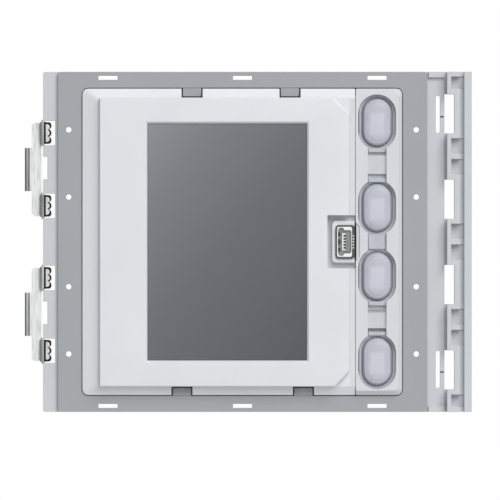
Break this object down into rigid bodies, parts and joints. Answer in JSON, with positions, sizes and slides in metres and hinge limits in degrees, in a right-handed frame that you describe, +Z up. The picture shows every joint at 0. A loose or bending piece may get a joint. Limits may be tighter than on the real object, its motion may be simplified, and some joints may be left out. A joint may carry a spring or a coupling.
{
  "type": "video door-entry display module",
  "caption": "Square panel-mount display module with a portrait screen, translucent push keys, a vertical USB socket, a slotted side rail and sprung side latches.",
  "frame": {"origin": "centre of the mounting frame's seating plane, where it rests on the support frame that holds it", "axes": "+Y into the wall, through the seating plane; +X to the right seen from the front; +Z up"},
  "size_m": [0.1197, 0.0276, 0.091],
  "materials": {
    "frame_plastic": "fine satin moulding",
    "plate_coat": "satin mid grey",
    "white_plastic": "satin moulding",
    "display_glass": "smooth grey window",
    "lcd_cell": "polarised film",
    "diffuser": "milky",
    "polyimide": "amber film",
    "steel": "plated",
    "spring_steel": "bright, finely brushed",
    "silicone": "translucent silicone",
    "carbon_rubber": "matt",
    "circuit_board": "solder mask",
    "lamp": "clear over phosphor",
    "black_plastic": "moulded",
    "case_plastic": "fine spark-eroded texture",
    "aluminium": "satin can",
    "ferrite": "sintered",
    "label": "blank satin film"
  },
  "bodies": {
    "module": {"mounting_frame": "frame_plastic", "face_plate": "plate_coat", "front_tray": "white_plastic", "display_bezel": "white_plastic", "key_bezel": "white_plastic", "display_glass": "display_glass", "lcd_cell": "lcd_cell", "lcd_backlight": "diffuser", "lcd_frame": "steel", "lcd_flex": "polyimide", "lcd_connector": "black_plastic", "usb_shell": "steel", "usb_insert": "black_plastic", "usb_collar": "white_plastic", "keypad_mat": "silicone", "key_board": "circuit_board", "key_lamp_1": "lamp", "key_lamp_2": "lamp", "key_lamp_3": "lamp", "key_lamp_4": "lamp", "key_board_screw_1": "steel", "key_board_screw_2": "steel", "board_link": "black_plastic", "main_board": "circuit_board", "processor": "black_plastic", "memory_chip": "black_plastic", "crystal": "steel", "power_inductor": "ferrite", "capacitor_1": "aluminium", "capacitor_2": "aluminium", "link_socket_in": "black_plastic", "link_socket_out": "black_plastic", "configurator_socket": "frame_plastic", "rear_case": "case_plastic", "case_screw_1": "steel", "case_screw_2": "steel", "case_screw_3": "steel", "case_screw_4": "steel", "board_screw_1": "steel", "board_screw_2": "steel", "board_screw_3": "steel", "board_screw_4": "steel", "rating_plate": "label"},
    "push_key_1": {"key_1": "silicone", "contact_pill_1": "carbon_rubber"},
    "push_key_2": {"key_2": "silicone", "contact_pill_2": "carbon_rubber"},
    "push_key_3": {"key_3": "silicone", "contact_pill_3": "carbon_rubber"},
    "push_key_4": {"key_4": "silicone", "contact_pill_4": "carbon_rubber"},
    "upper_latch": {"latch_upper": "spring_steel"},
    "lower_latch": {"latch_lower": "spring_steel"}
  },
  "joints": [
    {"name": "key_1_press", "type": "slide", "parent": "module", "child": "push_key_1", "axis": [0, 1, 0], "range_m": [0, 0.0008], "stiffness_N_per_m": 1500},
    {"name": "key_2_press", "type": "slide", "parent": "module", "child": "push_key_2", "axis": [0, 1, 0], "range_m": [0, 0.0008], "stiffness_N_per_m": 1500},
    {"name": "key_3_press", "type": "slide", "parent": "module", "child": "push_key_3", "axis": [0, 1, 0], "range_m": [0, 0.0008], "stiffness_N_per_m": 1500},
    {"name": "key_4_press", "type": "slide", "parent": "module", "child": "push_key_4", "axis": [0, 1, 0], "range_m": [0, 0.0008], "stiffness_N_per_m": 1500},
    {"name": "upper_latch_hinge", "type": "hinge", "parent": "module", "child": "upper_latch", "pos_m": [-0.05345, -0.0019, 0.0194], "axis": [0, 0, -1], "range_deg": [0, 25], "stiffness_Nm_per_rad": 0.02},
    {"name": "lower_latch_hinge", "type": "hinge", "parent": "module", "child": "lower_latch", "pos_m": [-0.05345, -0.0019, -0.0194], "axis": [0, 0, -1], "range_deg": [0, 25], "stiffness_Nm_per_rad": 0.02}
  ]
}
